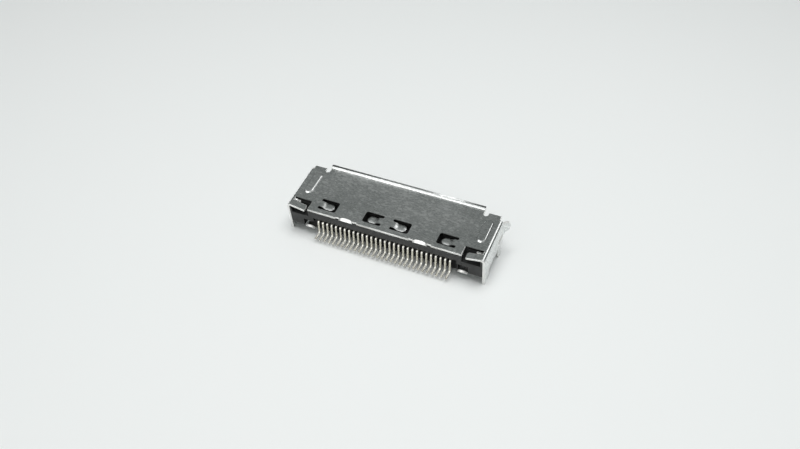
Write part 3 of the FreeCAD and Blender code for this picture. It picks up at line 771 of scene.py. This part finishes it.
right_half = [
    (STUB_SLOT[0], 0), (STUB_SLOT[0], STUB_NOTCH, 0.03), (STUB[0], STUB_NOTCH, 0.03),
    *stub_line(-STUB_REACH),
    (STUB[1], STUB_NOTCH, 0.03), (STUB_SLOT[1], STUB_NOTCH, 0.03), (STUB_SLOT[1], 0),
    (SLOT[0], 0), (SLOT[0], SLOT_FRONT, 0.15), (SLOT[1], SLOT_FRONT), (SLOT[1], FINGER_FRONT),
    (FINGER_TIP, FINGER_FRONT, 0.05), (FINGER_TIP, FINGER_REAR, 0.05), (SLOT[1], FINGER_REAR),
    (SLOT[1], TAB_DEPTH), (TAB_TIP, TAB_DEPTH, 0.2), (TAB_TIP, 0, 0.06),
    (SHORT_LEG_TIP, 0, LEG_ROUND), (SHORT_LEG_TIP, SHORT_LEG_FRONT, LEG_ROUND),
    (WALL_FOOT, SHORT_LEG_FRONT), (WALL_FOOT, FLOOR_FOLD[0]), (SHEET_END + EDGE_ROUND, FLOOR_FOLD[0]),
    (SHEET_END + EDGE_ROUND, FLOOR_FOLD[1]), (WALL_FOOT, FLOOR_FOLD[1], 0.1),
    (WALL_FOOT, LONG_LEG[0], 0.1), (BOARD, LONG_LEG[0]), (LONG_LEG_TIP, LONG_LEG_POINT[0], LONG_LEG_ROUND),
    (LONG_LEG_TIP, LONG_LEG_POINT[1], LONG_LEG_ROUND), (BOARD, LONG_LEG[1]),
    (EAR_BOTTOM, LONG_LEG[1], 0.1), (EAR_LOW, EAR_TIP, 0.4), (EAR_TOP, EAR_TIP, 0.45),
    (EAR_TOP, FOLD_FRONT, 0.08), (FOLD_SIDE, FOLD_FRONT, 0.06), (FOLD_SIDE, PLATE_FRONT),
    *lip_notch, (LIP_HALF, LIP_TIP)]
top_outline = drawn(right_half + mirrored(right_half))
print("the outline of the top and walls has", len(top_outline), "corners")

# %% [markdown]
# The holes are the C-shaped gaps round the four tongues and the latch slits in the two walls. A crease
# goes on past the outline, where nothing is left of it.

# %% Holes
LATCH_LEVEL, LATCH_HALF, LATCH_REAR, LATCH_FRONT = 1.12, 0.21, 3.95, 5.35


def window_gap(middle, pointing):
    """The gap round a tongue: along the window's edge, then back round the tongue."""
    rear, front, gap = WINDOW_REAR, WINDOW_FRONT, WINDOW_GAP
    tip = WINDOW_HALF - TIP_GAP
    corners = [(-WINDOW_HALF, rear, 0.1), (WINDOW_HALF, rear, 0.2), (WINDOW_HALF, front, 0.2),
               (-WINDOW_HALF, front, 0.1), (-WINDOW_HALF, front - gap, 0.1), (tip, front - gap, 0.34),
               (tip, rear + gap, 0.34), (-WINDOW_HALF, rear + gap, 0.1)]
    return drawn([(middle + pointing * x, y, radius) for x, y, radius in corners])


def latch_slit(side):
    """The slit in a side wall that a plug's latch would reach."""
    low, high = (side * (wall_place(LATCH_LEVEL) + half) for half in (-LATCH_HALF, LATCH_HALF))
    return drawn([(low, LATCH_REAR, 0.1), (high, LATCH_REAR, 0.1),
                  (high, LATCH_FRONT, 0.1), (low, LATCH_FRONT, 0.1)])


top_holes = [window_gap(*window) for window in WINDOWS] + [latch_slit(side) for side in (-1, 1)]
print(len(top_holes), "holes")

# %% Creases
CROWN_RINGS, STUB_CREASES = (0.08, 0.16, 0.24, 0.31), (STUB_NOTCH, 0.2, 0.32, STUB_FOOT)
FOLD_CREASE, LOWER_CREASE, EAR_CREASE, LIP_CREASE = (-1, 7), (1.2, 3.6), (10.95, 13.2), 9


def tip_ring(middle, pointing, radius):
    """A circle round the crown of a tongue's tip."""
    deep = (WINDOW_REAR + WINDOW_FRONT) / 2
    x = middle + pointing * (WINDOW_HALF - TIP_GAP - (deep - WINDOW_REAR - WINDOW_GAP))
    ring = [(x + radius * math.cos(turn), deep + radius * math.sin(turn))
            for turn in steps_between(0.0, 2 * math.pi, 16)]
    return ring[:-1] + ring[:1]


def rib_ring(side, distance):
    """A line round a rib, where it has one distance from the rib's middle line."""
    middle, rear, front = side * RIB_MIDDLE, RIB_REAR + RIB_HALF, RIB_FRONT - RIB_HALF
    ends = [(rear, math.pi), (front, 0.0)]
    ring = [(middle + distance * math.cos(start + turn), deep + distance * math.sin(start + turn))
            for deep, start in ends for turn in steps_between(0.0, math.pi, 12)]
    return ring + ring[:1]


creases = []
for side in (-1, 1):
    creases += [[(side * x, y) for y in FOLD_CREASE] for x in steps_between(FLAT_HALF, WALL_START, 5)]
    creases += [[(side * x, y) for y in LOWER_CREASE] for x in steps_between(WALL_END, SHEET_END, 5)[:-1]]
    creases += [[(side * x, y) for x in EAR_CREASE]
                for y in steps_between(EAR_START, EAR_START + EAR_TURN, 5)]
    creases += [rib_ring(side, RIB_HALF - inwards) for inwards in steps_between(0.0, RIB_SLOPE, 4)]
    creases += [[(side * x, y) for y in (-0.2, TAB_DEPTH + 0.1)]
                for x in steps_between(TAB_TIP, TAB_ROOT, 8)]
    root = TAB_ROOT - NEAR * (TAB_ROOT - FINGER_TIP)
    creases.append([(side * root, y) for y in (FINGER_REAR - 0.02, FINGER_FRONT + 0.02)])
    creases += [[(side * x, y) for x, y in stub_line(deep)] for deep in STUB_CREASES]
creases += [[(-LIP_CREASE, y), (LIP_CREASE, y)] for y in steps_between(LIP_START, LIP_START + LIP_TURN, 6)]
for middle, pointing in WINDOWS:
    for run in steps_between(0.0, 0.75, 8):
        x = middle + pointing * ((2 * WINDOW_HALF - TIP_GAP) * run - WINDOW_HALF)
        creases.append([(x, WINDOW_REAR + WINDOW_GAP - NEAR), (x, WINDOW_FRONT - WINDOW_GAP + NEAR)])
    creases += [tip_ring(middle, pointing, radius) for radius in CROWN_RINGS]
print(len(creases), "creases")


# %% The top and the walls as metal
def stub_fall(place):
    """The slope that is left where the press sheared off the strip that carried the sheet."""
    from_side = (STUB[1] - STUB[0]) / 2 - abs(abs(place.x) - (STUB[0] + STUB[1]) / 2)
    share = min(max((STUB_FOOT - place.y) / (STUB_FOOT + STUB_REACH), 0.0), 1.0)
    return STUB_FALL * share * eased(from_side / STUB_FADE)


def join_at(across):
    """A test for rim edges on the line where the folded walls go over into the bottom plate."""
    return lambda start, end: all(abs(abs(place.x) - across) < 0.001 for place in (start, end))


shell_metal = SheetMesh()
shell_metal.add_patch([top_outline] + top_holes, creases, folded_top, join_at(SHEET_END), stub_fall)
print("top and walls:", len(shell_metal.faces), "faces")

# %% [markdown]
# ## The bottom plate
#
# The two ends of the sheet meet under the box and leave a narrow seam. Each half has an arm that is
# bent up behind the insulator into a round lug, and its front edge is turned down into the lower lip.

# %% Bottom plate
SEAM_HALF, FLOOR_SIDE, LUG, LUG_STRAIGHT, LUG_ROUND = 0.03, 10.38, (7.9, 9.0), 0.52, 0.5
LOWER_LIP_CREASE, LUG_CREASE = (0, 8.8), (7.8, 9.1)
LUG_TURN = LUG_MIDDLE * LUG_ANGLE
LUG_TIP = LUG_START + LUG_TURN + LUG_STRAIGHT
LOWER_TIP = LIP_START + LIP_TURN + LIP_DROP + SHEET / 2 - LIP_MIDDLE
floor_half = [
    (SEAM_HALF, FLOOR_FOLD[0]), (LUG[0], FLOOR_FOLD[0], 0.1), (LUG[0], -LUG_TIP, LUG_ROUND),
    (LUG[1], -LUG_TIP, LUG_ROUND), (LUG[1], FLOOR_FOLD[0], 0.1),
    (FLAT_HALF + EDGE_ROUND, FLOOR_FOLD[0]), (FLAT_HALF + EDGE_ROUND, FLOOR_FOLD[1]),
    (FLOOR_SIDE, FLOOR_FOLD[1]), (FLOOR_SIDE, PLATE_FRONT),
    *lip_notch, (LIP_HALF, LOWER_TIP), (SEAM_HALF, LOWER_TIP)]
for side in (-1, 1):
    outline = drawn([(side * corner[0], *corner[1:]) for corner in floor_half])
    bends = [[(side * x, y) for x in LOWER_LIP_CREASE]
             for y in steps_between(LIP_START, LIP_START + LIP_TURN, 6)]
    bends += [[(side * x, -y) for x in LUG_CREASE]
              for y in steps_between(LUG_START, LUG_START + LUG_TURN, 8)]
    shell_metal.add_patch([outline], bends, folded_floor, join_at(FLAT_HALF))
print("whole shell:", len(shell_metal.faces), "faces")

# %% Shell object
shell_mesh = bpy.data.meshes.new("pressed_shell")
shell_mesh.from_pydata(shell_metal.places, [], shell_metal.faces)
for finish in (plated_sheet, sheared_edge, window_edge):
    shell_mesh.materials.append(finish)
shell_mesh.polygons.foreach_set("material_index", shell_metal.finishes)
shell_mesh.shade_smooth()
shell_mesh.normals_split_custom_set_from_vertices(shell_metal.normals)
check = bmesh.new()
check.from_mesh(shell_mesh)
print("shell: open edges", sum(not edge.is_manifold for edge in check.edges),
      "volume", round(check.calc_volume() / MM ** 3, 2), "mm3")
check.free()
shell = add_object("pressed_shell", shell_mesh)
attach(shell, "root")
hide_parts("shell")

# %% [markdown]
# ## The contacts
#
# All thirty contacts are the same stamped strip, so one strip is made in mesh code, and Geometry Nodes
# set out the row. An array modifier could do that too, but it can't move each toe by itself. The tree
# lets all toes lean a tenth of a millimetre to the left, as the photographed ones do, and sways each by
# a few hundredths more, as handling does.

# %% One strip
STRIP, TAIL_HALF, BEAM_HALF = 0.15, 0.1, 0.15
BEAM_LEVEL = 1.79 - STRIP / 2
BEAM_TIP, BEAM_REAR, TOE_TIP = 5.1, 0.8, -1.1
SHOULDER, SHOULDER_MIDDLE, KNEE, KNEE_MIDDLE, KNEE_LIFT = -0.085, 0.14, -0.235, 0.22, 0.14
TAPER, WORN, HALF_STRIP = 0.06, 0.03, STRIP / 2
strip_line = [(BEAM_TIP, BEAM_LEVEL), (BEAM_REAR + TAPER, BEAM_LEVEL), (BEAM_REAR - TAPER, BEAM_LEVEL),
              (SHOULDER, BEAM_LEVEL, SHOULDER_MIDDLE), (KNEE, HALF_STRIP + KNEE_LIFT, KNEE_MIDDLE),
              (TOE_TIP, HALF_STRIP)]
middle_line = drawn(strip_line, 6)
strip = bmesh.new()
rings = []
for index, here in enumerate(middle_line):
    before, after = middle_line[max(index - 1, 0)], middle_line[min(index + 1, len(middle_line) - 1)]
    run = (after - before).normalized()
    normal = run.orthogonal()
    half_width = BEAM_HALF if here.x > BEAM_REAR else TAIL_HALF
    upper = [(half_width, HALF_STRIP - WORN), (half_width - WORN, HALF_STRIP),
             (WORN - half_width, HALF_STRIP), (-half_width, HALF_STRIP - WORN)]
    ring = []
    for x, up in upper + [(-x, -up) for x, up in upper]:
        spot = here - normal * up
        ring.append(strip.verts.new((x * MM, spot.x * MM, spot.y * MM)))
    rings.append(ring)
for first, last in zip(rings, rings[1:]):
    for n in range(len(first)):
        strip.faces.new((first[n - 1], first[n], last[n], last[n - 1]))
strip.faces.new(rings[0][::-1])
strip.faces.new(rings[-1])
bmesh.ops.recalc_face_normals(strip, faces=strip.faces)
strip_mesh = bpy.data.meshes.new("contact_strip")
strip.to_mesh(strip_mesh)
print("one strip:", len(strip_mesh.polygons), "faces, volume",
      round(strip.calc_volume() / MM ** 3, 3), "mm3")
strip.free()
strip_mesh.shade_smooth()
strip_mesh.set_sharp_from_angle(angle=math.radians(50))
strip_mesh.materials.append(tinned)

# %% The row of contacts
LEAN_START = -0.2
row_settings = {"Count": len(contact_names), "Pitch": 0.5 * MM, "Sway": 0.03 * MM, "Lean": 0.1 * MM,
                "Seed": 11}
row_tree = new_group(
    "contact_row", "GeometryNodeTree",
    [("Geometry", "NodeSocketGeometry", None), ("Finish", "NodeSocketMaterial", None)]
    + [(name, "NodeSocketInt" if isinstance(setting, int) else "NodeSocketFloat", setting)
       for name, setting in row_settings.items()],
    [("Geometry", "NodeSocketGeometry")])
row_in = row_tree.nodes.new("NodeGroupInput").outputs
row_out = row_tree.nodes.new("NodeGroupOutput")
gaps = calculate(row_tree, "SUBTRACT", row_in["Count"], 1.0)
row_length = calculate(row_tree, "MULTIPLY", gaps, row_in["Pitch"])
start = add_node(row_tree, "ShaderNodeCombineXYZ", X=calculate(row_tree, "MULTIPLY", row_length, -0.5))
offset = add_node(row_tree, "ShaderNodeCombineXYZ", X=row_in["Pitch"])
line = add_node(row_tree, "GeometryNodeMeshLine", Count=row_in["Count"], Start_Location=start.outputs[0],
                Offset=offset.outputs[0])
row = add_node(row_tree, "GeometryNodeInstanceOnPoints", Points=line.outputs[0],
               Instance=row_in["Geometry"])
own = add_node(row_tree, "FunctionNodeRandomValue", in_2=-1.0, in_3=1.0,
               ID=add_node(row_tree, "GeometryNodeInputIndex").outputs[0], Seed=row_in["Seed"])
swayed = add_node(row_tree, "GeometryNodeStoreNamedAttribute", {"domain": "INSTANCE"},
                  Geometry=row.outputs[0], Name="sway", Value=own.outputs[1])
real = add_node(row_tree, "GeometryNodeRealizeInstances", Geometry=swayed.outputs[0])
sway = add_node(row_tree, "GeometryNodeInputNamedAttribute", Name="sway").outputs[0]
position = add_node(row_tree, "GeometryNodeInputPosition").outputs[0]
spot = add_node(row_tree, "ShaderNodeSeparateXYZ", Vector=position)
reach = fade(row_tree, spot.outputs["Y"], LEAN_START * MM, TOE_TIP * MM)
own_sway = calculate(row_tree, "MULTIPLY", sway, row_in["Sway"])
aside = calculate(row_tree, "SUBTRACT", own_sway, row_in["Lean"])
side_step = calculate(row_tree, "MULTIPLY", aside, reach)
moved = add_node(row_tree, "GeometryNodeSetPosition", Geometry=real.outputs[0],
                 Offset=add_node(row_tree, "ShaderNodeCombineXYZ", X=side_step).outputs[0])
done = add_node(row_tree, "GeometryNodeSetMaterial", Geometry=moved.outputs[0], Material=row_in["Finish"])
row_tree.links.new(done.outputs[0], row_out.inputs[0])
print("the row's tree has", len(row_tree.nodes), "nodes")

# %% Contacts object
def plain_mesh(name, base_mesh, tree, settings):
    """The mesh that a Geometry Nodes tree makes of a base mesh, with its inputs set by identifier."""
    carrier = add_object(name + "_carrier", base_mesh)
    modifier = carrier.modifiers.new("row", "NODES")
    modifier.node_group = tree
    for item in tree.interface.items_tree:
        if item.item_type == "SOCKET" and item.in_out == "INPUT" and item.name in settings:
            modifier[item.identifier] = settings[item.name]
    depsgraph = bpy.context.evaluated_depsgraph_get()
    result = bpy.data.meshes.new_from_object(carrier.evaluated_get(depsgraph), depsgraph=depsgraph)
    result.name = name
    bpy.data.objects.remove(carrier)
    return result


contacts_mesh = plain_mesh("contact_row", strip_mesh, row_tree, {**row_settings, "Finish": tinned})
contacts = add_object("contact_row", contacts_mesh)
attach(contacts, "root")
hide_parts(*contact_names)
print("contacts:", len(contacts_mesh.polygons), "faces")

# %% [markdown]
# ## The insulator
#
# The CAD block already has every step, pocket and groove of the moulding. A real one has no knife
# edges, so the corners of a copy are merged into one skin and its edges are rounded a little. A bevel
# modifier could round them too, but mesh code can count at once whether the skin is still closed.

# %% Insulator
ROUNDING, MERGED_CORNERS, SHARP = 0.04 * MM, 0.0005 * MM, math.radians(30)
housing_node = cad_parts["housing"]
moulding = bmesh.new()
moulding.from_mesh(housing_node.data)
moulding.transform(housing_node.matrix_world)
bmesh.ops.remove_doubles(moulding, verts=moulding.verts, dist=MERGED_CORNERS)
bmesh.ops.dissolve_limit(moulding, angle_limit=math.radians(1), verts=moulding.verts, edges=moulding.edges)
corners = [edge for edge in moulding.edges if edge.is_manifold and edge.calc_face_angle() > SHARP]
bmesh.ops.bevel(moulding, geom=corners, offset=ROUNDING, segments=2, profile=0.5, affect="EDGES",
                clamp_overlap=True)
print("insulator: open edges", sum(not edge.is_manifold for edge in moulding.edges), "faces",
      len(moulding.faces), "volume", round(moulding.calc_volume() / MM ** 3, 2), "mm3")
moulding_mesh = bpy.data.meshes.new("moulded_insulator")
moulding.to_mesh(moulding_mesh)
moulding.free()
moulding_mesh.materials.append(moulded_black)
insulator = add_object("moulded_insulator", moulding_mesh)
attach(insulator, "root")
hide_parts("housing")

# %% [markdown]
# ## The end
#
# The CAD solids get the same finishes as the pieces that stand for them.

# %% Finishes of the CAD nodes
for name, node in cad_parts.items():
    node.data.materials.clear()
    node.data.materials.append({"shell": plated_sheet, "housing": moulded_black}.get(name, tinned))
